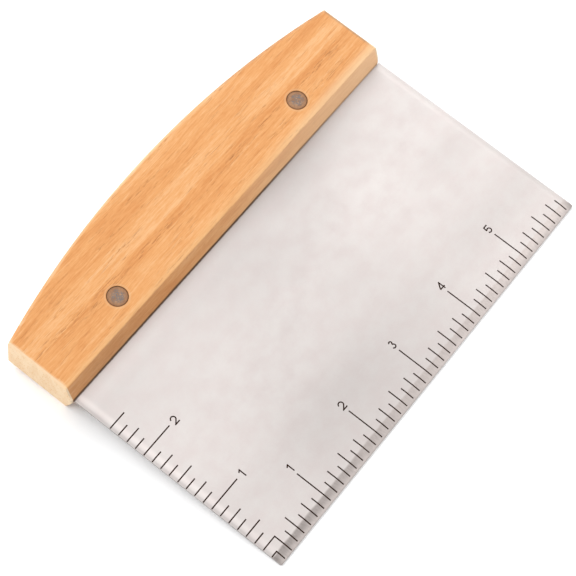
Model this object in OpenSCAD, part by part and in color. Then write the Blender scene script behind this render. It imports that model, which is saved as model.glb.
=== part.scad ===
// Bench scraper: a stainless blade with an etched inch scale, held in a
// slotted wooden handle by two flush two-piece rivets.
// Millimetres. The tool lies on a bench as it rests in use: +X runs along the
// handle, +Y from the working edge to the handle, +Z up. The origin is on the
// bench, under the middle of the tool.

/* [Blade] */
// Width of the blade along the working edge
blade_w = 150.9; // [145:0.1:150.9]
// Height of blade that shows below the handle
blade_reach = 77.5; // [60:0.1:110]
// How far the blade sits off the handle's middle
blade_shift = 0.45; // [0:0.05:0.45]
// Sheet thickness
blade_t = 1; // [0.8:0.1:1.6]
// Width of the ground bevel along the working edge
bevel_w = 3.4; // [1.5:0.1:5]
// Metal ground away at the working edge, on the scale side
bevel_drop = 0.4; // [0.1:0.05:0.5]
// Radius of the two corners of the working edge
corner_r = 0.5; // [0.5:0.1:4]
// Width of the rolled-over border left by the blanking die on the short edges
roll_w = 2.5; // [1:0.1:4]
// Drop of that border at the very edge
roll_drop = 0.22; // [0.05:0.01:0.3]

/* [Tang] */
// Width of the tang inside the handle
tang_w = 138; // [100:1:150]
// Depth of the tang inside the handle
tang_depth = 17; // [15:0.5:18]
// Clearance on each face of the tang in its slot
slot_gap = 0.05; // [0.02:0.01:0.2]

/* [Handle] */
// Length of the handle
handle_w = 151.8; // [151.8:0.2:160]
// Height of the handle at its middle
handle_h = 33.4; // [31:0.1:45]
// Mean height of the handle's two ends
handle_end_h = 24.2; // [23:0.1:27]
// Where the curved top is highest, along the handle
crown_x = -2; // [-4:0.5:4]
// Thickness of the handle
handle_t = 15; // [13:0.5:20]
// Rise of the slanted lower faces, from the blade out to the flat faces
lower_rise = 2.5; // [1:0.1:4]
// Width of the softened strip along the foot of each flat face
soft_w = 2.2; // [1.5:0.1:3]
// Wood worn away at the outer edge of that strip
soft_drop = 0.35; // [0.15:0.05:0.4]
// Width of the small flat that breaks the arris below that strip
arris_w = 0.3; // [0.2:0.05:0.5]
// Radius of the easing along the curved top edges
top_round = 1.2; // [0.5:0.1:2.5]
// Radius of the easing around the end faces
end_round = 0.8; // [0.4:0.1:1.5]
// Radius of the handle's two lower corners, seen from the front
foot_round = 1.2; // [0.5:0.1:2]

/* [Rivets] */
// Distance between the two rivets
rivet_spacing = 87.6; // [60:0.2:96]
// Height of the rivets above the handle's lower face
rivet_up = 9.9; // [8.5:0.1:11]
// Diameter of the rivet heads
head_d = 6.6; // [6:0.1:8]
// Thickness of the rivet heads
head_t = 1.6; // [1.2:0.1:2.5]
// Outer diameter of the rivet's tubular half
sleeve_d = 4.8; // [4.4:0.1:5.4]
// Diameter of the rivet's solid half
post_d = 3.4; // [2.8:0.1:3.6]

/* [Scale] */
// Inset of the scale's zero from the short edge, less than none where the
// sheet was trimmed past it
zero_x = -0.9; // [-0.9:0.05:1]
// Inset of the scale's zero from the working edge
zero_y = 0.5; // [0:0.05:1]
// Width of an etched line
line_w = 0.42; // [0.25:0.01:0.6]
// Depth of the etching
etch = 0.06; // [0.03:0.01:0.12]
// Height of an etched figure
figure_h = 2.9; // [2:0.1:4]

/* [Hidden] */

inch = 25.4;
eps = 0.01;

// Lower edge of the bar's section, [height above the foot, across]: a slanted
// face from foot to arris_a, a small flat to arris_b, an arc round soft_c, and
// the flat face from soft_c's height up.
soft_r = (soft_w*soft_w + soft_drop*soft_drop) / (2*soft_drop);
soft_c = [lower_rise + soft_w, handle_t/2 - soft_r];
foot = [0, blade_t/2];
slant = [lower_rise, handle_t/2 - soft_drop - blade_t/2]
      / norm([lower_rise, handle_t/2 - soft_drop - blade_t/2]);
to_foot = foot - soft_c;
arris = foot + slant * (-to_foot*slant
      + sqrt(pow(to_foot*slant, 2) - to_foot*to_foot + soft_r*soft_r));
arris_a = arris - 0.55*arris_w*slant;
arris_turn = 0.55*arris_w/soft_r * 180/PI;
arris_b = soft_c + [(arris - soft_c)*[cos(arris_turn), sin(arris_turn)],
                    (arris - soft_c)*[-sin(arris_turn), cos(arris_turn)]];

// The tool lies on two lines: the back corner of its working edge, and the
// softened strip at the foot of the handle's back. With the working edge at
// the origin, the centre of that strip's rounding is at (rest_a, rest_b).
rest_a = blade_reach + soft_c[0];
rest_b = blade_t/2 - soft_c[1];
rest_tilt = asin(soft_r / norm([rest_a, rest_b])) - atan2(rest_b, rest_a);

// Limits of the laid-down tool along Y, which set the origin's place
low_y = -(blade_t/2 - bevel_drop) * sin(rest_tilt);
high_y = (blade_reach + handle_h - top_round) * cos(rest_tilt)
       + (handle_t/2 - top_round) * sin(rest_tilt) + top_round;

// Radius of the handle's curved top, from its rise over half its length
rise = handle_h - handle_end_h;
crown_r = (pow(handle_w/2, 2) + rise*rise) / (2*rise);

// Radius of the rolled-over border
roll_r = (roll_w*roll_w + roll_drop*roll_drop) / (2*roll_drop);

// Rivet fits
seat_gap = 0.06;          // round the head, in its counterbore
press_gap = 0.02;         // round the post, in the sleeve
head_sink = 0.05;         // head below the wood
wall_z = handle_t/2 - head_sink;
shoulder_z = wall_z - head_t;

// Lengths of the etched lines, by how far apart their kind falls
reach_8 = 0.200 * inch;
reach_4 = 0.256 * inch;
reach_2 = 0.295 * inch;
reach_1 = 0.508 * inch;
start_long = 0.012 * inch;
start_short = max(0.010 * inch, 0.1 - zero_x);
last_long = floor((blade_w - zero_x) / inch * 8 - 0.3);
last_short = 20;

// Lays the flat tool down on the bench
module laid_down()
    translate([0, -(low_y + high_y)/2, blade_t/2 * cos(rest_tilt)])
        rotate([rest_tilt, 0, 0])
            children();

// ---------- handle ----------

// Rectangle with all four corners rounded, centred
module rounded_rect(w, h, r) {
    square([w - 2*r, h], center = true);
    square([w, h - 2*r], center = true);
    for (x = [-1, 1], y = [-1, 1])
        translate([x*(w/2 - r), y*(h/2 - r)]) circle(r, $fn = 48);
}

// Wood missing outside the lower edge of the bar's section
module lower_waste() {
    difference() {
        polygon([soft_c, soft_c + 1.5*(arris_b - soft_c), soft_c + [0, 1.5*soft_r]]);
        translate(soft_c) circle(soft_r, $fn = 720);
    }
    polygon([arris_a, arris_b, soft_c + 1.5*(arris_b - soft_c),
             arris_a + 3*[-slant[1], slant[0]]]);
}

// Cross-section of the bar, lying along +X
module bar_section() {
    out = foot + slant*(handle_t/2 - foot[1])/slant[1];
    difference() {
        polygon([foot, out, [handle_h + 5, handle_t/2], [handle_h + 5, -handle_t/2],
                 [out[0], -out[1]], [foot[0], -foot[1]]]);
        for (s = [0, 1]) mirror([0, s]) lower_waste();
    }
}

// Large disc whose rim gives the curved top, its two rim edges eased
module crown_disc() {
    r = top_round;
    translate([crown_x, blade_reach + handle_h - crown_r, 0])
        rotate_extrude($fn = 1440) {
            translate([0, -handle_t/2]) square([crown_r - r, handle_t]);
            translate([0, -handle_t/2 + r]) square([crown_r, handle_t - 2*r]);
            for (y = [-1, 1])
                translate([crown_r - r, y*(handle_t/2 - r)]) circle(r, $fn = 48);
        }
}

// Front outline below the crown: a block with its two lower corners eased
module front_outline() {
    r = foot_round;
    top = handle_h + 2;
    translate([-handle_w/2, blade_reach + r]) square([handle_w, top - r]);
    translate([-handle_w/2 + r, blade_reach]) square([handle_w - 2*r, top]);
    for (s = [-1, 1])
        translate([s*(handle_w/2 - r), blade_reach + r]) circle(r, $fn = 48);
}

module handle_blank()
    intersection() {
        crown_disc();
        translate([0, 0, -handle_t]) linear_extrude(2*handle_t) front_outline();
        translate([-blade_w, blade_reach, 0])
            rotate([90, 0, 90]) linear_extrude(2*blade_w) bar_section();
        translate([0, blade_reach + handle_h + 5, 0])
            rotate([90, 0, 0]) linear_extrude(handle_h + 10)
                rounded_rect(handle_w, handle_t, end_round);
    }

// Counterbored hole for one rivet, right through the handle
module rivet_bore() {
    cylinder(d = sleeve_d + 2*seat_gap, h = handle_t + 2, center = true, $fn = 64);
    for (s = [-1, 1])
        translate([0, 0, s*(shoulder_z + 2)])
            cylinder(d = head_d + 2*seat_gap, h = 4, center = true, $fn = 96);
}

module at_rivet(side)
    translate([side*rivet_spacing/2, blade_reach + rivet_up, 0]) children();

module handle()
    color("burlywood") laid_down()
        difference() {
            handle_blank();
            // slot for the tang, cut from below and stopped short of both ends
            translate([-(tang_w/2 + 0.5), blade_reach - 1, -(blade_t/2 + slot_gap)])
                cube([tang_w + 1, tang_depth + 1.5, blade_t + 2*slot_gap]);
            at_rivet(-1) rivet_bore();
            at_rivet(1) rivet_bore();
        }

// ---------- blade ----------

// Outline of the sheet, centred: full-width blade, narrower tang
module blade_outline() {
    r = corner_r;
    translate([-blade_w/2, r]) square([blade_w, blade_reach - r]);
    translate([-blade_w/2 + r, 0]) square([blade_w - 2*r, r + eps]);
    for (s = [-1, 1]) translate([s*(blade_w/2 - r), r]) circle(r, $fn = 48);
    translate([-tang_w/2 - blade_shift, blade_reach - eps])
        square([tang_w, tang_depth + eps]);
}

// Metal missing above a rolled-over border at +X
module roll_waste()
    difference() {
        translate([blade_w/2 - roll_w, blade_t/2 - roll_drop - 0.1])
            square([roll_w + 1, roll_drop + 1.1]);
        translate([blade_w/2 - roll_w, blade_t/2 - roll_r]) circle(roll_r, $fn = 720);
        translate([blade_w/2 - roll_w - 1, blade_t/2 - roll_drop - 2]) square([roll_w + 3, 2]);
    }

module sheet()
    difference() {
        translate([0, 0, -blade_t/2]) linear_extrude(blade_t) blade_outline();
        // ground bevel on the scale side
        rotate([90, 0, 90]) translate([0, 0, -blade_w])
            linear_extrude(2*blade_w)
                polygon([[-1, blade_t/2 - bevel_drop * (bevel_w + 1)/bevel_w],
                         [bevel_w, blade_t/2], [bevel_w, blade_t/2 + 1],
                         [-1, blade_t/2 + 1]]);
        // rolled-over borders on the two short edges
        for (s = [0, 1]) mirror([s, 0, 0])
            translate([0, blade_reach, 0]) rotate([90, 0, 0])
                linear_extrude(blade_reach + 1) roll_waste();
        translate([-blade_shift, 0, 0])
            for (s = [-1, 1]) at_rivet(s)
                cylinder(d = sleeve_d + 0.2, h = blade_t + 2, center = true, $fn = 64);
    }

// Straight etched line from a to b
module line(a, b)
    translate(a) rotate(atan2(b[1] - a[1], b[0] - a[0]))
        translate([0, -line_w/2]) square([norm(b - a), line_w]);

// Etched arc of mean radius r round c, from angle a to angle b
module arc(c, r, a, b)
    translate(c) intersection() {
        difference() {
            circle(r + line_w/2, $fn = 64);
            circle(r - line_w/2, $fn = 64);
        }
        polygon(concat([[0, 0]],
            [for (i = [0:6]) 3*r*[cos(a + (b - a)*i/6), sin(a + (b - a)*i/6)]]));
    }

// Plain figures, centred on x = 0, standing on y = 0
module figure(n) {
    h = figure_h;
    w = 0.36*h;               // half width
    if (n == 1) {
        line([0.1*h, 0], [0.1*h, h]);
        line([0.1*h, h - line_w/2], [-0.17*h, 0.74*h]);
    }
    if (n == 2) {
        r = w - line_w/2;
        p = [r*cos(-38), h - w + r*sin(-38)];
        arc([0, h - w], r, -40, 172);
        line(p, [-w + 0.75*line_w, 0.5*line_w]);
        line([-w, line_w/2], [w, line_w/2]);
    }
    if (n == 3) {
        ru = 0.245*h - line_w/2;
        rl = 0.295*h - line_w/2;
        arc([0, h - 0.245*h], ru, -90, 160);
        arc([0, 0.295*h], rl, -165, 90);
    }
    if (n == 4) {
        line([0.16*h, 0], [0.16*h, h]);
        line([-w, 0.27*h], [w, 0.27*h]);
        line([0.16*h, h - 0.4*line_w], [-w + 0.1*line_w, 0.27*h]);
    }
    if (n == 5) {
        r = 0.33*h - line_w/2;
        line([-0.22*h, h - line_w/2], [0.3*h, h - line_w/2]);
        line([-0.2*h, h], [-0.26*h, 0.46*h]);
        arc([0, 0.33*h], r, -155, 150);
    }
}

function reach_of(i) =
    i % 8 == 0 ? reach_1 : i % 4 == 0 ? reach_2 : i % 2 == 0 ? reach_4 : reach_8;

// The whole scale, its zero at [0, 0]
module scale_marks() {
    // nested corners at one and two eighths
    for (i = [1, 2]) {
        line([start_short, i*inch/8], [i*inch/8 + line_w/2, i*inch/8]);
        line([i*inch/8, start_long - 0.3], [i*inch/8, i*inch/8]);
    }
    // along the working edge
    for (i = [3:last_long])
        line([i*inch/8, start_long], [i*inch/8, reach_of(i)]);
    for (n = [1:5])
        if (n*8 <= last_long) translate([n*inch, 0.552*inch]) figure(n);
    // up the short edge
    for (i = [3:last_short])
        line([start_short, i*inch/8], [reach_of(i), i*inch/8]);
    for (n = [1:2])
        translate([0.595*inch, n*inch - figure_h/2]) figure(n);
}

module blade()
    color("gainsboro") laid_down() translate([blade_shift, 0, 0])
        difference() {
            sheet();
            // the etching keeps one depth below whatever face it crosses
            difference() {
                translate([-blade_w/2 + zero_x, zero_y, 0])
                    linear_extrude(blade_t) scale_marks();
                translate([0, 0, -etch]) sheet();
            }
        }

// ---------- rivets ----------

// Solid half: head on the front, post running back into the sleeve
module rivet_post() {
    c = 0.25;
    rotate_extrude($fn = 96)
        polygon([[0, -shoulder_z + 0.4], [post_d/2 - 0.3, -shoulder_z + 0.4],
                 [post_d/2, -shoulder_z + 0.7], [post_d/2, shoulder_z],
                 [head_d/2, shoulder_z], [head_d/2, wall_z - c],
                 [head_d/2 - c, wall_z], [0, wall_z]]);
}

// Tubular half: head on the back, tube running forward through the tang
module rivet_sleeve() {
    c = 0.25;
    rotate_extrude($fn = 96)
        polygon([[0, -wall_z], [head_d/2 - c, -wall_z], [head_d/2, -wall_z + c],
                 [head_d/2, -shoulder_z], [sleeve_d/2, -shoulder_z],
                 [sleeve_d/2, shoulder_z - 0.3], [post_d/2 + press_gap, shoulder_z - 0.3],
                 [post_d/2 + press_gap, -shoulder_z], [0, -shoulder_z]]);
}

module rivet_post_left() color("rosybrown") laid_down() at_rivet(-1) rivet_post();
module rivet_post_right() color("rosybrown") laid_down() at_rivet(1) rivet_post();
module rivet_sleeve_left() color("dimgray") laid_down() at_rivet(-1) rivet_sleeve();
module rivet_sleeve_right() color("dimgray") laid_down() at_rivet(1) rivet_sleeve();

handle();
blade();
rivet_post_left();
rivet_post_right();
rivet_sleeve_left();
rivet_sleeve_right();
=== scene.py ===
"""Looks for the bench scraper: wood, steel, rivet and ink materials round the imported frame."""
import math

import bmesh
import bpy
import numpy as np
from mathutils import Matrix, Vector


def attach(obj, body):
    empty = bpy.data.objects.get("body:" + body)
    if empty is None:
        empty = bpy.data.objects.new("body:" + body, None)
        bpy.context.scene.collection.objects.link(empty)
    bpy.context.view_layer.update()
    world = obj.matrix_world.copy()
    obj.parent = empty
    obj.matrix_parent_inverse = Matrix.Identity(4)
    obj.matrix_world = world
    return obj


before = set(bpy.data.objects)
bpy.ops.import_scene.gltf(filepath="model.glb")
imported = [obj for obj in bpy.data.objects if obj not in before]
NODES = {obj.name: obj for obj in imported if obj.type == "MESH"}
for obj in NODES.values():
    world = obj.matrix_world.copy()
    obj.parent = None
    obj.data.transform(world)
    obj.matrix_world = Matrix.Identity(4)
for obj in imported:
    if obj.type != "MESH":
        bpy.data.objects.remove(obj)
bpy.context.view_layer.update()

# ---------------------------------------------------------------- the tool's own axes
# The tool lies tilted on the bench. These turn the row frame (metres) into the
# flat tool's millimetres: x along the handle, y up from the working edge, z out
# of the face that carries the scale, 0 in the middle of the sheet.
TILT = math.radians(4.8853461364833)
SHIFT_Y, SHIFT_Z = -55.51473846632422, 0.49818355483986493
CT, ST = math.cos(TILT), math.sin(TILT)


def to_tool(p):
    """Row frame, metres -> tool, mm. p is (n, 3)."""
    p = np.asarray(p, float) * 1000.0
    y, z = p[:, 1] - SHIFT_Y, p[:, 2] - SHIFT_Z
    return np.c_[p[:, 0], y * CT + z * ST, -y * ST + z * CT]


def to_row(p):
    """Tool, mm -> row frame, metres."""
    p = np.asarray(p, float)
    return np.c_[p[:, 0], p[:, 1] * CT - p[:, 2] * ST + SHIFT_Y, p[:, 1] * ST + p[:, 2] * CT + SHIFT_Z] / 1000.0


# Sizes that the materials and marks follow, in mm
BLADE_W, BLADE_X, REACH, HALF_T = 150.9, 0.45, 77.5, 0.5
BEVEL_W, BEVEL_DROP = 3.4, 0.4
ROLL_W, ROLL_R = 2.5, (2.5 ** 2 + 0.22 ** 2) / (2 * 0.22)
HANDLE_W, HANDLE_H, HANDLE_T, END_H = 151.8, 33.4, 15.0, 24.2
RISE = HANDLE_H - END_H
CROWN_R = ((HANDLE_W / 2) ** 2 + RISE ** 2) / (2 * RISE)
CROWN_X, CROWN_Y = -2.0, REACH + HANDLE_H - CROWN_R
RIVET_X, RIVET_Y = 43.8, REACH + 9.9
HEAD_R = 3.3


# ---------------------------------------------------------------- node helpers
class Graph:
    """Small helper that builds a material's nodes and gives back sockets."""

    def __init__(self, name):
        self.mat = bpy.data.materials.new(name)
        self.mat.use_nodes = True
        self.t = self.mat.node_tree
        self.t.nodes.clear()
        self.out = self.t.nodes.new("ShaderNodeOutputMaterial")
        self.bsdf = self.t.nodes.new("ShaderNodeBsdfPrincipled")
        self.t.links.new(self.bsdf.outputs[0], self.out.inputs[0])
        self.coord = self.t.nodes.new("ShaderNodeTexCoord")
        self.n = 0
        self._axes()

    def put(self, sock, value):
        if isinstance(value, bpy.types.NodeSocket):
            self.t.links.new(value, sock)
        else:
            sock.default_value = value

    def node(self, kind, **props):
        nd = self.t.nodes.new(kind)
        self.n += 1
        nd.location = (-220 * (1 + self.n % 14), -170 * (self.n // 14))
        for k, v in props.items():
            setattr(nd, k, v)
        return nd

    def m(self, op, a, b=None, c=None, clamp=False):
        nd = self.node("ShaderNodeMath", operation=op, use_clamp=clamp)
        for i, v in enumerate((a, b, c)):
            if v is not None:
                self.put(nd.inputs[i], v)
        return nd.outputs[0]

    def add(self, a, b): return self.m("ADD", a, b)
    def sub(self, a, b): return self.m("SUBTRACT", a, b)
    def mul(self, a, b): return self.m("MULTIPLY", a, b)
    def div(self, a, b): return self.m("DIVIDE", a, b)
    def absol(self, a): return self.m("ABSOLUTE", a)
    def low(self, a, b): return self.m("MINIMUM", a, b)
    def high(self, a, b): return self.m("MAXIMUM", a, b)
    def inv(self, a): return self.m("SUBTRACT", 1.0, a)

    def vec(self, x, y, z):
        nd = self.node("ShaderNodeCombineXYZ")
        for i, v in enumerate((x, y, z)):
            self.put(nd.inputs[i], v)
        return nd.outputs[0]

    def split(self, v):
        nd = self.node("ShaderNodeSeparateXYZ")
        self.put(nd.inputs[0], v)
        return nd.outputs

    def dot(self, v, w):
        nd = self.node("ShaderNodeVectorMath", operation="DOT_PRODUCT")
        self.put(nd.inputs[0], v)
        nd.inputs[1].default_value = w
        return nd.outputs["Value"]

    def smooth(self, x, lo, hi, a=0.0, b=1.0):
        """a below lo, b above hi, turning smoothly."""
        nd = self.node("ShaderNodeMapRange", interpolation_type="SMOOTHSTEP", clamp=True)
        self.put(nd.inputs[0], x)
        for i, v in enumerate((lo, hi, a, b)):
            self.put(nd.inputs[1 + i], v)
        return nd.outputs[0]

    def line(self, x, lo, hi, a=0.0, b=1.0):
        nd = self.node("ShaderNodeMapRange", interpolation_type="LINEAR", clamp=True)
        self.put(nd.inputs[0], x)
        for i, v in enumerate((lo, hi, a, b)):
            self.put(nd.inputs[1 + i], v)
        return nd.outputs[0]

    def table(self, x, x0, x1, stops):
        """A number looked up along x: stops are (x, value), values 0 to 1."""
        nd = self.node("ShaderNodeValToRGB")
        self.put(nd.inputs[0], self.line(x, x0, x1))
        e = nd.color_ramp.elements
        nd.color_ramp.interpolation = "LINEAR"
        for i, (at, v) in enumerate(stops):
            k = (at - x0) / (x1 - x0)
            el = e[i] if i < 2 else e.new(k)
            el.position = k
            el.color = (v, v, v, 1.0)
        return nd.outputs[0]

    def bump_at(self, x, centre, half):
        """1 at centre, 0 beyond half away from it."""
        return self.smooth(self.absol(self.sub(x, centre)), 0.0, half, 1.0, 0.0)

    def noise(self, v, detail=2.0, rough=0.5, scale=1.0, lac=2.0, dist=0.0):
        nd = self.node("ShaderNodeTexNoise", noise_dimensions="3D")
        self.put(nd.inputs["Vector"], v)
        nd.inputs["Scale"].default_value = scale
        nd.inputs["Detail"].default_value = detail
        nd.inputs["Roughness"].default_value = rough
        nd.inputs["Lacunarity"].default_value = lac
        nd.inputs["Distortion"].default_value = dist
        return nd.outputs[0]

    def voronoi(self, v, feature="F1", rand=1.0):
        nd = self.node("ShaderNodeTexVoronoi", voronoi_dimensions="3D", feature=feature)
        self.put(nd.inputs["Vector"], v)
        nd.inputs["Scale"].default_value = 1.0
        nd.inputs["Randomness"].default_value = rand
        return nd.outputs["Distance"], nd.outputs.get("Color")

    def colour(self, rgb):
        nd = self.node("ShaderNodeRGB")
        nd.outputs[0].default_value = (*rgb, 1.0)
        return nd.outputs[0]

    def mix(self, fac, a, b, blend="MIX"):
        nd = self.node("ShaderNodeMix", data_type="RGBA", blend_type=blend)
        self.put(nd.inputs[0], fac)
        for i, v in ((6, a), (7, b)):
            self.put(nd.inputs[i], v if isinstance(v, bpy.types.NodeSocket) else (*v, 1.0))
        return nd.outputs[2]

    def scale_colour(self, col, k):
        """A colour times a number."""
        nd = self.node("ShaderNodeVectorMath", operation="SCALE")
        self.put(nd.inputs[0], col)
        self.put(nd.inputs[3], k)
        return nd.outputs[0]

    def bump(self, height, strength, distance, normal=None):
        nd = self.node("ShaderNodeBump")
        nd.inputs["Strength"].default_value = strength
        nd.inputs["Distance"].default_value = distance
        self.put(nd.inputs["Height"], height)
        if normal is not None:
            self.put(nd.inputs["Normal"], normal)
        return nd.outputs[0]

    def _axes(self):
        p = self.coord.outputs["Object"]
        self.x = self.mul(self.split(p)[0], 1000.0)
        self.y = self.add(self.dot(p, (0, CT * 1000, ST * 1000)), -SHIFT_Y * CT - SHIFT_Z * ST)
        self.z = self.add(self.dot(p, (0, -ST * 1000, CT * 1000)), SHIFT_Y * ST - SHIFT_Z * CT)
        nrm = self.coord.outputs["Normal"]
        self.nx = self.split(nrm)[0]
        self.nz = self.dot(nrm, (0, -ST, CT))
        self.ny = self.dot(nrm, (0, CT, ST))


def total(g, parts):
    """Sum of (socket, weight)."""
    s = None
    for sock, w in parts:
        t = g.mul(sock, w)
        s = t if s is None else g.add(s, t)
    return s


# ---------------------------------------------------------------- wood
def wood():
    g = Graph("handle_wood_oiled")
    x, y, z = g.x, g.y, g.z

    # the grain wanders a little along the handle
    warp = g.sub(g.noise(g.vec(g.div(x, 60), g.div(y, 22), g.div(z, 18)), 2, 0.5), 0.5)
    warp2 = g.sub(g.noise(g.vec(g.div(x, 16), g.div(y, 6), g.add(g.div(z, 7), 31.0)), 1, 0.5), 0.5)
    yw = g.add(y, g.add(g.mul(warp, 1.7), g.mul(warp2, 0.55)))
    zw = g.add(z, g.mul(warp, 2.0))

    broad = g.noise(g.vec(g.div(x, 70), g.div(yw, 4.2), g.div(zw, 8)), 2, 0.5)
    streak = g.noise(g.vec(g.div(x, 24), g.div(yw, 0.95), g.div(zw, 1.7)), 3, 0.55)
    short = g.noise(g.vec(g.div(x, 7.5), g.div(yw, 0.55), g.add(g.div(zw, 1.0), 63.0)), 2, 0.55)
    fibre = g.noise(g.vec(g.div(x, 3.4), g.div(yw, 0.24), g.div(zw, 0.5)), 2, 0.55)
    weave = g.noise(g.vec(g.div(x, 1.5), g.div(yw, 0.6), g.add(g.div(zw, 0.8), 11.0)), 1, 0.5)
    patch = g.noise(g.vec(g.div(x, 22), g.div(y, 9), g.add(g.div(z, 9), 12.0)), 2, 0.5)

    # a pale growth band with a crisp lower border, pale again at the top
    band = g.mul(g.smooth(yw, 92.5, 93.2), g.smooth(yw, 95.6, 99.6, 1.0, 0.0))
    crest = g.smooth(yw, 104.0, 110.0)
    low_dark = g.bump_at(yw, 90.6, 2.6)
    arc_dark = g.mul(g.bump_at(yw, 101.2, 2.2), g.smooth(g.absol(g.add(x, 4.0)), 8.0, 40.0, 0.35, 1.0))
    tone = total(g, [(g.sub(broad, 0.5), 0.62), (g.sub(streak, 0.5), 0.86), (g.sub(short, 0.5), 0.74),
                     (g.sub(fibre, 0.5), 0.80), (g.sub(patch, 0.5), 0.30), (g.sub(weave, 0.5), 0.30),
                     (band, 0.25), (crest, 0.24), (low_dark, -0.10), (arc_dark, -0.16)])
    tone = g.m("ADD", tone, 0.44, clamp=True)

    dark, base, light = (0.500, 0.205, 0.062), (0.572, 0.271, 0.097), (0.622, 0.345, 0.160)
    c1 = g.mix(g.line(tone, 0.10, 0.5), dark, base)
    col = g.mix(g.line(tone, 0.5, 0.92), c1, light)

    # pores, cut lengthwise into short dark dashes that gather in rows
    def row(yc, half, xc, reach):
        return g.mul(g.bump_at(yw, yc, half), g.bump_at(x, xc, reach))
    dash = g.noise(g.vec(g.div(x, 2.6), g.div(yw, 0.27), g.div(zw, 0.27)), 1, 0.5)
    rows = g.noise(g.vec(g.div(x, 24), g.div(yw, 1.3), g.add(g.div(zw, 2.5), 5.0)), 2, 0.6)
    rows = g.mul(g.smooth(rows, 0.50, 0.70), 0.75)
    for yc, half, xc, reach in ((92.1, 0.9, -62, 26), (90.4, 1.3, -48, 26), (90.6, 1.6, -24, 26),
                                (90.2, 1.2, 14, 16), (90.4, 1.2, 32, 14), (89.9, 1.5, 58, 22),
                                (85.4, 1.6, 57, 16), (104.8, 1.2, -13, 18), (96.3, 0.8, -30, 14)):
        rows = g.high(rows, row(yc, half, xc, reach))
    pore = g.mul(g.smooth(dash, 0.54, 0.65), rows)
    long_dash = g.noise(g.vec(g.div(x, 6.0), g.div(yw, 0.30), g.add(g.div(zw, 0.4), 77.0)), 1, 0.5)
    long_rows = g.smooth(g.noise(g.vec(g.div(x, 17), g.div(yw, 1.1), g.add(g.div(zw, 2), 40.0)), 1, 0.5), 0.48, 0.66)
    vessel = g.mul(g.smooth(long_dash, 0.58, 0.72), g.high(long_rows, g.mul(rows, 0.8)))

    # end grain: paler, with the pores seen end on as small orange and brown specks
    d_end = g.sub(HANDLE_W / 2, g.absol(x))
    end = g.smooth(d_end, 0.46, 0.74, 1.0, 0.0)
    dots, _ = g.voronoi(g.vec(g.div(x, 40), g.div(g.add(y, 0.3), 0.62), g.div(z, 0.62)))
    keep = g.noise(g.vec(g.div(x, 40), g.div(y, 0.9), g.div(z, 0.9)), 1, 0.5)
    speck = g.mul(g.smooth(dots, 0.14, 0.40, 1.0, 0.0), g.smooth(keep, 0.42, 0.56))
    rings = g.noise(g.vec(g.div(x, 60), g.div(yw, 2.2), g.div(zw, 6)), 2, 0.5)
    end_col = g.mix(g.smooth(rings, 0.35, 0.65), (0.600, 0.430, 0.265), (0.632, 0.478, 0.312))
    end_col = g.mix(g.mul(speck, 0.80), end_col, (0.50, 0.225, 0.078))
    # painted highlight: the eased border of each end is drawn pale
    end_border_highlight = g.mul(g.smooth(d_end, 0.48, 0.70, 1.0, 0.0), g.smooth(d_end, 0.02, 0.16))
    end_col = g.mix(g.mul(end_border_highlight, 0.55), end_col, (0.69, 0.575, 0.415))

    side = g.mul(pore, g.inv(end))
    col = g.mix(g.mul(side, g.line(patch, 0.35, 0.65, 0.55, 0.80)), col, (0.270, 0.105, 0.034))
    col = g.mix(g.mul(g.mul(vessel, g.inv(end)), 0.52), col, (0.350, 0.135, 0.042))
    col = g.mix(end, col, end_col)

    # burnished, slightly lighter wood round each rivet, with a thin line at the hole
    rx = g.sub(g.absol(x), RIVET_X)
    ry = g.sub(y, RIVET_Y)
    rr = g.m("SQRT", g.add(g.mul(rx, rx), g.mul(ry, ry)))
    halo = g.mul(g.bump_at(rr, 3.80, 0.45), 0.40)
    col = g.mix(halo, col, (0.53, 0.325, 0.175))
    hair = g.smooth(rr, 3.36, 3.56, 1.0, 0.0)
    col = g.mix(g.mul(hair, 0.5), col, (0.22, 0.110, 0.055))

    # edges: distance to the crown's rim, the ends and the flat faces
    cx = g.sub(x, CROWN_X)
    cy = g.sub(y, CROWN_Y)
    rad = g.m("SQRT", g.add(g.mul(cx, cx), g.mul(cy, cy)))
    d_top = g.sub(CROWN_R, rad)
    d_face = g.sub(HANDLE_T / 2, g.absol(z))
    near = g.m("ADD", g.high(d_top, 0.0), g.high(d_face, 0.0))
    near2 = g.m("ADD", g.high(d_end, 0.0), g.high(d_face, 0.0))
    near3 = g.m("ADD", g.high(d_end, 0.0), g.high(d_top, 0.0))
    edge = g.low(near, g.low(near2, near3))
    rub = g.noise(g.vec(g.div(x, 6), g.div(y, 3), g.div(z, 3)), 3, 0.6)
    nick = g.noise(g.vec(g.div(x, 19), g.div(y, 6), g.add(g.div(z, 6), 8.0)), 3, 0.65)
    ragged = g.add(edge, g.add(g.mul(g.sub(rub, 0.5), 0.7), g.mul(g.sub(nick, 0.5), 1.0)))
    # painted highlight: the eased rim is drawn pale, strongest toward the left end, with ragged borders
    rim_highlight = g.mul(g.smooth(ragged, 0.35, 1.35, 1.0, 0.0), g.smooth(x, -30.0, 45.0, 0.72, 0.12))
    rim_highlight = g.mul(rim_highlight, g.smooth(d_top, 0.0, 0.35, 0.35, 1.0))
    col = g.mix(rim_highlight, col, (0.655, 0.46, 0.285))
    # painted shade: the eased rim and end edges are drawn darker toward the right end
    rim_shade = g.mul(g.smooth(x, 12.0, 50.0), g.smooth(g.low(near, near2), 0.55, 1.45, 1.0, 0.0))
    rim_shade = g.mul(rim_shade, g.smooth(y, REACH + 2.0, REACH + 8.0, 0.45, 1.0))
    col = g.mix(g.mul(rim_shade, 0.62), col, (0.255, 0.145, 0.085))
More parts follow.
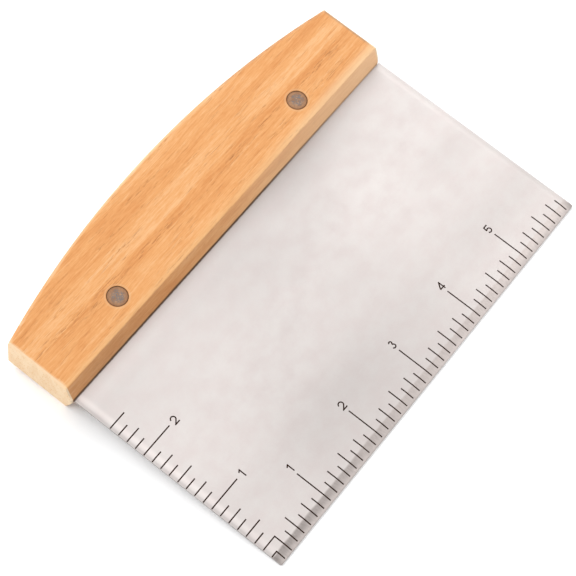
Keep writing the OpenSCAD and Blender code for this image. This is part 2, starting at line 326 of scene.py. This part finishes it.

    # slanted lower faces: painted shade, darker and greyer toward the left end, and painted light, paler toward the
    # right end
    slant = g.mul(g.smooth(g.mul(g.ny, -1.0), 0.55, 0.85), g.inv(end))
    right = g.smooth(g.add(x, g.mul(g.sub(patch, 0.5), 24.0)), -45.0, 66.0)
    col = g.mix(g.mul(slant, g.line(right, 0.0, 1.0, 0.14, 0.0)), col, (0.207, 0.083, 0.031))
    col = g.mix(g.mul(slant, g.mul(right, 0.55)), col, (0.62, 0.435, 0.275))
    lift = g.mul(g.table(x, -76.0, 76.0, [(-76, 0.80), (-60, 0.80), (-45, 0.85), (-30, 0.91), (-10, 0.90),
                                          (10, 0.95), (40, 0.94), (76, 0.93)]), 1.25)
    col = g.scale_colour(col, g.add(1.0, g.mul(slant, g.sub(lift, 1.0))))
    col = g.mix(g.mul(slant, g.smooth(x, 0.0, -60.0, 0.02, 0.14)), col, (0.27, 0.185, 0.145))
    # painted highlight on the softened strip along the foot of each flat face, wider and stronger toward the right
    # end
    above = g.sub(y, REACH + 2.5)
    strip = g.mul(g.smooth(above, 0.1, g.add(g.mul(right, 1.4), 2.7), 1.0, 0.0), g.smooth(g.absol(z), 6.5, 7.0))
    strip = g.mul(strip, g.inv(slant))
    lit_toward_right = g.smooth(g.add(x, g.mul(g.sub(patch, 0.5), 24.0)), -8.0, 66.0)
    pale = g.mix(lit_toward_right, (0.76, 0.495, 0.245), (0.73, 0.55, 0.34))
    col = g.mix(g.mul(strip, g.add(g.mul(lit_toward_right, 0.23), 0.31)), col, pale)

    # painted contact shade: a dark line along the handle's foot where it meets the blade, fading toward the right
    # end
    d_foot = g.add(g.absol(g.sub(y, REACH)), g.mul(g.high(g.sub(g.absol(z), 0.5), 0.0), 1.0))
    foot_contact_shade = g.smooth(g.add(d_foot, g.mul(g.sub(rub, 0.5), 0.6)), 0.35, 1.35, 1.0, 0.0)
    foot_contact_shade = g.mul(foot_contact_shade, g.inv(g.mul(end, 0.75)))
    col = g.mix(g.mul(foot_contact_shade, g.smooth(x, 5.0, 70.0, 0.95, 0.45)), col, (0.085, 0.044, 0.024))

    g.put(g.bsdf.inputs["Base Color"], col)
    rough = total(g, [(streak, 0.14), (fibre, 0.12), (side, 0.18), (end, 0.12), (rub, 0.08)])
    rough = g.sub(g.add(rough, 0.42), g.mul(rim_highlight, 0.08))
    g.put(g.bsdf.inputs["Roughness"], rough)
    g.bsdf.inputs["Specular IOR Level"].default_value = 0.26
    g.bsdf.inputs["IOR"].default_value = 1.47

    lie = total(g, [(streak, 0.4), (short, 0.35), (fibre, 0.45)])
    height = g.sub(lie, g.add(g.mul(side, 1.1), g.mul(g.mul(vessel, g.inv(end)), 1.1)))
    height = g.sub(height, g.mul(g.mul(speck, end), 0.8))
    n1 = g.bump(height, 0.55, 0.00007)
    wave = g.noise(g.vec(g.div(x, 24), g.div(y, 8), g.div(z, 8)), 2, 0.5)
    n2 = g.bump(wave, 0.4, 0.00030, n1)
    g.put(g.bsdf.inputs["Normal"], n2)
    return g.mat


# ---------------------------------------------------------------- blade steel
def steel():
    g = Graph("blade_steel_satin")
    x, y, z = g.x, g.y, g.z
    front = g.smooth(g.nz, 0.2, 0.6)

    # polishing scratches along the blade, and softer blotches from handling
    brush = g.noise(g.vec(g.div(x, 16), g.div(y, 0.11), g.div(z, 0.4)), 3, 0.6)
    brush2 = g.noise(g.vec(g.div(x, 0.16), g.div(y, 7), g.add(g.div(z, 0.4), 9.0)), 2, 0.6)
    cloud = g.noise(g.vec(g.div(x, 30), g.div(y, 24), g.div(z, 20)), 3, 0.55)
    cloud2 = g.noise(g.vec(g.div(x, 6), g.div(y, 5), g.add(g.div(z, 6), 21.0)), 3, 0.6)
    mottle = g.noise(g.vec(g.div(x, 0.9), g.div(y, 0.8), g.add(g.div(z, 1), 4.0)), 2, 0.6)
    tone = total(g, [(g.sub(brush, 0.5), 0.050), (g.sub(cloud, 0.5), 0.042), (g.sub(cloud2, 0.5), 0.036),
                     (g.sub(mottle, 0.5), 0.040)])

    # painted reflection: the sheet is drawn duller low on the left, beside the handle's middle and in a patch on the
    # right, brighter low on the right
    across = g.table(x, -76.0, 76.0, [(-76, 0.97), (-52, 0.97), (-34, 0.945), (-18, 0.92), (0, 0.915),
                                      (18, 0.93), (34, 0.95), (50, 0.935), (76, 0.93)])
    dull = g.mul(g.mul(g.bump_at(x, -29.0, 42.0), g.bump_at(y, 17.0, 24.0)), 0.11)
    bright = g.mul(g.smooth(x, 5.0, 40.0), g.smooth(y, 62.0, 36.0, 0.0, 0.045))
    corner = g.mul(g.smooth(x, -10.0, 60.0), g.smooth(y, 18.0, 6.0, 0.0, 0.075))
    wide = g.smooth(g.absol(g.sub(y, 40.0)), 8.0, 22.0, 0.045, 0.0)
    dim_patch_right = g.mul(g.mul(g.bump_at(x, 66.0, 26.0), g.bump_at(y, 41.0, 15.0)), 0.09)
    k = g.add(g.sub(g.add(across, tone), g.add(dull, dim_patch_right)), g.add(g.add(bright, corner), g.add(wide, 0.02)))
    # painted shade beside the handle's right half, and painted light along the handle, strongest in the left corner
    handle_side_shade = g.mul(g.mul(g.smooth(y, 62.0, 77.0), g.bump_at(x, 32.0, 34.0)), 0.15)
    lit_under_handle = g.mul(g.smooth(y, 69.0, 77.0), g.smooth(x, -20.0, -66.0, 0.14, 0.24))
    k = g.add(k, g.mul(g.sub(lit_under_handle, handle_side_shade), front))
    # painted shadow close under the handle's right half, with a ragged border
    foot_shadow = g.mul(g.smooth(g.add(y, g.mul(g.sub(cloud2, 0.5), 3.0)), 69.5, 76.5), g.smooth(x, -20.0, 4.0))
    k = g.mul(k, g.sub(1.0, g.mul(g.mul(foot_shadow, front), 0.11)))

    # ground bevel: painted reflection, dark toward the scale's zero and lighter along the very edge
    # there, the other way about at the far end, with grinding marks on it
    ground = g.add(y, g.mul(g.sub(cloud2, 0.5), 0.9))
    in_bevel = g.mul(g.smooth(ground, 3.05, 3.85, 1.0, 0.0), front)
    sx = g.add(x, g.mul(g.sub(cloud, 0.5), 10.0))
    at_top = g.table(sx, -76.0, 76.0, [(-76, 0.52), (-55, 0.61), (-45, 0.65), (-35, 0.71), (-25, 0.77),
                                       (-15, 0.85), (0, 0.88), (25, 0.87), (45, 0.94), (65, 0.98), (76, 0.94)])
    at_edge = g.table(sx, -76.0, 76.0, [(-76, 0.73), (-55, 0.84), (-45, 0.85), (-25, 0.83), (-15, 0.85),
                                        (0, 0.92), (15, 0.95), (25, 0.88), (45, 0.83), (55, 0.80), (76, 0.81)])
    t = g.smooth(y, 0.3, 2.3)
    grind = g.noise(g.vec(g.div(x, 0.45), g.div(y, 1.6), g.div(z, 2)), 2, 0.6)
    fact = g.add(g.mul(at_top, t), g.mul(at_edge, g.inv(t)))
    fact = g.add(fact, g.mul(g.sub(grind, 0.5), 0.30))
    fact = g.sub(fact, g.smooth(y, 0.05, 0.42, 0.13, 0.0))
    k = g.mul(k, g.add(1.0, g.mul(in_bevel, g.sub(fact, 1.0))))

    # rolled borders on the short edges: painted shade outside and a painted highlight on the crest at the left end,
    # painted shade along the right end's border
    d_side = g.sub(BLADE_W / 2, g.absol(g.sub(x, BLADE_X)))
    left = g.smooth(x, 10.0, -10.0)
    rolled = g.mul(g.smooth(g.add(d_side, g.mul(g.sub(cloud2, 0.5), 0.5)), 0.5, 1.3, 1.0, 0.0), front)
    k = g.mul(k, g.sub(1.0, g.mul(rolled, g.mul(left, 0.13))))
    right_border_shade = g.mul(g.smooth(d_side, 0.2, 2.7, 1.0, 0.0), g.mul(g.inv(left), front))
    k = g.mul(k, g.sub(1.0, g.mul(right_border_shade, 0.30)))
    crest = g.mul(g.mul(g.bump_at(d_side, 2.05, 1.5), front), g.mul(left, g.smooth(y, 0.0, 26.0, 0.45, 1.0)))
    k = g.add(k, g.mul(crest, 0.150))

    # the sheet's cut edges, whose faces turn sideways, are drawn darker
    thin = g.mul(g.smooth(g.absol(g.nz), 0.55, 0.25), 0.34)
    k = g.mul(k, g.sub(1.0, thin))

    # painted contact shade: a dark line on the blade at the handle's foot, strongest toward the left end, and the
    # blade darkened just below it
    foot_line_shade = g.smooth(g.add(g.sub(REACH, y), g.mul(g.sub(mottle, 0.5), 0.25)), 0.10, 0.50, 1.0, 0.0)
    foot_line_shade = g.mul(foot_line_shade, g.smooth(x, 0.0, 66.0, 0.92, 0.30))
    k = g.mul(k, g.sub(1.0, g.smooth(g.sub(REACH, y), 0.3, 1.5, 0.10, 0.0)))

    base = g.mix(g.smooth(cloud2, 0.3, 0.7), (0.602, 0.547, 0.531), (0.604, 0.566, 0.548))
    base = g.mix(g.mul(in_bevel, 0.8), base, (0.606, 0.541, 0.514))
    g.put(g.bsdf.inputs["Base Color"], g.mix(foot_line_shade, g.scale_colour(base, k), (0.090, 0.054, 0.036)))
    g.bsdf.inputs["Metallic"].default_value = 1.0
    rough = total(g, [(brush, 0.10), (cloud, 0.08), (cloud2, 0.10), (in_bevel, 0.10)])
    g.put(g.bsdf.inputs["Roughness"], g.add(rough, 0.31))
    g.bsdf.inputs["Anisotropic"].default_value = 0.35
    scratch = g.add(g.mul(g.add(brush, g.mul(brush2, 0.35)), g.inv(in_bevel)), g.mul(grind, g.mul(in_bevel, 1.2)))
    n1 = g.bump(scratch, 0.30, 0.00001)
    sway = g.noise(g.vec(g.div(x, 34), g.div(y, 26), g.div(z, 20)), 1, 0.5)
    n2 = g.bump(sway, 0.20, 0.0003, n1)
    g.put(g.bsdf.inputs["Normal"], n2)
    return g.mat


# ---------------------------------------------------------------- rivets
def rivet(side, back):
    g = Graph("rivet_%s_%s" % ("sleeve" if back else "post", "left" if side < 0 else "right"))
    x = g.sub(g.x, side * RIVET_X)
    y = g.sub(g.y, RIVET_Y)
    z = g.z
    rr = g.m("SQRT", g.add(g.mul(x, x), g.mul(y, y)))
    seed = 3.0 if side < 0 else 17.0
    blot = g.noise(g.vec(g.div(x, 0.9), g.div(y, 0.9), g.add(g.div(z, 3), seed)), 3, 0.6)
    fine = g.noise(g.vec(g.div(x, 0.30), g.div(y, 0.30), g.add(g.div(z, 1), seed)), 2, 0.6)
    sanded = g.noise(g.vec(g.div(x, 3.2), g.div(y, 0.12), g.add(g.div(z, 1), seed)), 2, 0.6)
    # mottled grey and tan middle inside a brown patinated border
    mid = g.smooth(g.add(rr, g.mul(g.sub(blot, 0.5), 1.6)), 1.5, 2.6, 1.0, 0.0)
    brown = g.mix(g.smooth(blot, 0.32, 0.68), (0.245, 0.124, 0.064), (0.325, 0.178, 0.094))
    tan = g.mix(g.smooth(blot, 0.40, 0.66), (0.240, 0.124, 0.066), (0.365, 0.215, 0.124))
    grey = g.mix(g.smooth(fine, 0.43, 0.57), (0.142, 0.132, 0.130), tan)
    col = g.mix(mid, brown, grey)
    rim = g.smooth(g.add(rr, g.mul(g.sub(blot, 0.5), 0.5)), 2.55, 2.95)
    col = g.mix(g.mul(rim, 0.42), col, (0.190, 0.096, 0.053))
    col = g.scale_colour(col, g.add(0.88, g.mul(sanded, 0.24)))
    g.put(g.bsdf.inputs["Base Color"], col)
    g.bsdf.inputs["Metallic"].default_value = 0.55
    g.put(g.bsdf.inputs["Roughness"], total(g, [(blot, 0.14), (sanded, 0.14), (g.add(fine, 2.4), 0.15)]))
    g.bsdf.inputs["Specular IOR Level"].default_value = 0.3
    n1 = g.bump(g.add(sanded, g.mul(fine, 0.7)), 0.35, 0.00003)
    g.put(g.bsdf.inputs["Normal"], n1)
    return g.mat


# ---------------------------------------------------------------- scale ink
def ink():
    g = Graph("scale_black_oxide")
    x, y, z = g.x, g.y, g.z
    spot = g.noise(g.vec(g.div(x, 0.35), g.div(y, 0.35), g.div(z, 0.3)), 3, 0.6)
    slow = g.noise(g.vec(g.div(x, 6), g.div(y, 6), g.div(z, 2)), 2, 0.5)
    col = g.mix(g.smooth(spot, 0.35, 0.7), (0.012, 0.004, 0.002), (0.034, 0.014, 0.008))
    col = g.mix(g.smooth(slow, 0.55, 0.75, 0.0, 0.22), col, (0.050, 0.033, 0.026))
    g.put(g.bsdf.inputs["Base Color"], col)
    g.bsdf.inputs["Specular IOR Level"].default_value = 0.08
    g.put(g.bsdf.inputs["Roughness"], g.add(0.5, g.mul(spot, 0.3)))
    n = g.bump(spot, 0.5, 0.00001)
    g.put(g.bsdf.inputs["Normal"], n)
    return g.mat


def dress(obj, mat):
    if not obj.material_slots:
        obj.data.materials.append(mat)
    for s in obj.material_slots:
        s.material = mat


dress(NODES["handle"], wood())
dress(NODES["blade"], steel())
for name, side in (("left", -1), ("right", 1)):
    dress(NODES["rivet_post_" + name], rivet(side, False))
    dress(NODES["rivet_sleeve_" + name], rivet(side, True))


# ---------------------------------------------------------------- scale marks
def face_height(x, y):
    """Height of the blade's front face over the sheet's middle, in mm."""
    h = np.full(len(x), HALF_T)
    b = y < BEVEL_W
    h[b] = HALF_T - BEVEL_DROP * (BEVEL_W - y[b]) / BEVEL_W
    d = np.abs(x - BLADE_X) - (BLADE_W / 2 - ROLL_W)
    r = d > 0
    roll = HALF_T - ROLL_R + np.sqrt(np.maximum(ROLL_R ** 2 - np.maximum(d, 0) ** 2, 0))
    h[r] = np.minimum(h[r], roll[r])
    return h


ETCH, FILL, BITE = 0.06, 0.046, 0.006


def fill_marks():
    """The dark filling of each etched mark: the groove's own floor, raised to just under the face."""
    me = NODES["blade"].data
    nv, nf = len(me.vertices), len(me.polygons)
    co = np.zeros(nv * 3); me.vertices.foreach_get("co", co); co = to_tool(co.reshape(-1, 3))
    floor_v = np.abs(co[:, 2] - (face_height(co[:, 0], co[:, 1]) - ETCH)) < 0.012
    faces = []
    for p in me.polygons:
        v = list(p.vertices)
        if not all(floor_v[i] for i in v):
            continue
        a = co[v]
        n = np.cross(a[1] - a[0], a[2] - a[0])
        if np.linalg.norm(n) > 0 and n[2] / np.linalg.norm(n) > 0.9:
            faces.append(v)
    bm = bmesh.new()
    at = {}
    for f in faces:
        loop = []
        for i in f:
            key = tuple(np.round(co[i], 4))
            if key not in at:
                at[key] = bm.verts.new(co[i])
            if at[key] not in loop:
                loop.append(at[key])
        if len(loop) >= 3:
            try:
                bm.faces.new(loop)
            except ValueError:
                pass
    bm.verts.index_update()
    # split into islands: one mark or figure each
    seen, groups = set(), []
    for f in bm.faces:
        if f in seen:
            continue
        stack, isle = [f], []
        seen.add(f)
        while stack:
            q = stack.pop()
            isle.append(q)
            for e in q.edges:
                for w in e.link_faces:
                    if w not in seen:
                        seen.add(w)
                        stack.append(w)
        groups.append(isle)
    sets = {"scale_marks_edge": [], "scale_marks_side": [], "scale_figures": []}
    for isle in groups:
        pts = np.array([v.co[:] for f in isle for v in f.verts])
        lo, hi = pts.min(0), pts.max(0)
        w, h = hi[0] - lo[0], hi[1] - lo[1]
        if lo[1] > 12.5 and 0.9 < w < 3.6 and 2.0 < h < 3.6 or (lo[0] > -62.5 and w < 3.6 and 2.0 < h < 3.6 and lo[1] > 12.5) or (lo[0] > -63.5 and hi[0] < -57.0 and h > 2.0 and w < 3.6 and lo[1] > 12.5):
            sets["scale_figures"].append(isle)
        elif w > h:
            sets["scale_marks_side"].append(isle)
        else:
            sets["scale_marks_edge"].append(isle)
    mat = ink()
    made = []
    for name, isles in sets.items():
        if not isles:
            continue
        out = bmesh.new()
        for isle in isles:
            top, bot = {}, {}
            for f in isle:
                for v in f.verts:
                    if v not in top:
                        c = v.co
                        top[v] = out.verts.new((c.x, c.y, c.z + FILL))
                        bot[v] = out.verts.new((c.x, c.y, c.z - BITE))
            rim = {}
            for f in isle:
                vs = list(f.verts)
                out.faces.new([top[v] for v in vs])
                out.faces.new([bot[v] for v in reversed(vs)])
                for i, v in enumerate(vs):
                    w = vs[(i + 1) % len(vs)]
                    if (w, v) in rim:
                        del rim[(w, v)]
                    else:
                        rim[(v, w)] = True
            for v, w in rim:
                out.faces.new([top[w], top[v], bot[v], bot[w]])
        bmesh.ops.recalc_face_normals(out, faces=out.faces)
        me2 = bpy.data.meshes.new(name)
        out.to_mesh(me2)
        out.free()
        v = np.zeros(len(me2.vertices) * 3); me2.vertices.foreach_get("co", v)
        me2.vertices.foreach_set("co", to_row(v.reshape(-1, 3)).astype(np.float32).ravel())
        me2.update()
        ob = bpy.data.objects.new(name, me2)
        bpy.context.scene.collection.objects.link(ob)
        me2.materials.append(mat)
        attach(ob, "root")
        made.append((name, len(isles), len(me2.polygons)))
    bm.free()
    return made


print("marks:", fill_marks())


# ---------------------------------------------------------------- studio
scene = bpy.context.scene
scene.view_settings.view_transform = "Standard"
scene.view_settings.look = "None"
scene.view_settings.exposure = 0.0
scene.view_settings.gamma = 1.0

WORLD = 0.725
LIGHTS = [
    # name, azimuth (0 = from -Y, 90 = from +X), elevation, width, distance, strength (W)
    ("top", 0, 88, 0.9, 1.2, 1.30),
    ("right", 90, 35, 0.7, 1.2, 2.46),
    ("back_right", 135, 35, 0.7, 1.2, 5.94),
    ("back", 180, 35, 0.7, 1.2, 4.64),
    ("back_left", -135, 35, 0.7, 1.2, 5.22),
    ("low_left", -90, 14, 0.5, 1.2, 3.19),
    ("low_right", 60, 14, 0.5, 1.2, 5.94),
]

world = bpy.data.worlds.new("studio")
scene.world = world
world.use_nodes = True
bg = next(n for n in world.node_tree.nodes if n.type == "BACKGROUND")
bg.inputs[0].default_value = (1.0, 1.0, 1.0, 1.0)
bg.inputs[1].default_value = WORLD

for name, az, el, size, dist, power in LIGHTS:
    if power <= 0:
        continue
    a, e = math.radians(az), math.radians(el)
    pos = Vector((math.sin(a) * math.cos(e), -math.cos(a) * math.cos(e), math.sin(e))) * dist
    data = bpy.data.lights.new("light_" + name, "AREA")
    data.shape = "DISK"
    data.size = size
    data.energy = power
    lamp = bpy.data.objects.new("light_" + name, data)
    scene.collection.objects.link(lamp)
    lamp.location = pos
    lamp.rotation_euler = (-pos).to_track_quat("-Z", "Y").to_euler()

floor_me = bpy.data.meshes.new("floor")
bmf = bmesh.new()
bmesh.ops.create_grid(bmf, x_segments=8, y_segments=8, size=3.0)
bmf.to_mesh(floor_me)
bmf.free()
floor = bpy.data.objects.new("floor", floor_me)
scene.collection.objects.link(floor)
fm = bpy.data.materials.new("floor_white")
fm.use_nodes = True
fb = next(n for n in fm.node_tree.nodes if n.type == "BSDF_PRINCIPLED")
fb.inputs["Base Color"].default_value = (0.915, 0.915, 0.918, 1.0)
fb.inputs["Roughness"].default_value = 0.9
fb.inputs["Specular IOR Level"].default_value = 0.1
floor_me.materials.append(fm)

cam_data = bpy.data.cameras.new("camera")
cam_data.sensor_width = 36.0
cam_data.lens = 120.18584
cam_data.clip_start, cam_data.clip_end = 0.02, 30.0
cam = bpy.data.objects.new("camera", cam_data)
scene.collection.objects.link(cam)
cam.location = (-0.22378606347, -0.13926347403, 0.53122220921)
cam.rotation_mode = "XYZ"
cam.rotation_euler = (0.451410937977, -0.049334588335, -0.915034133979)
scene.camera = cam

bpy.context.view_layer.update()
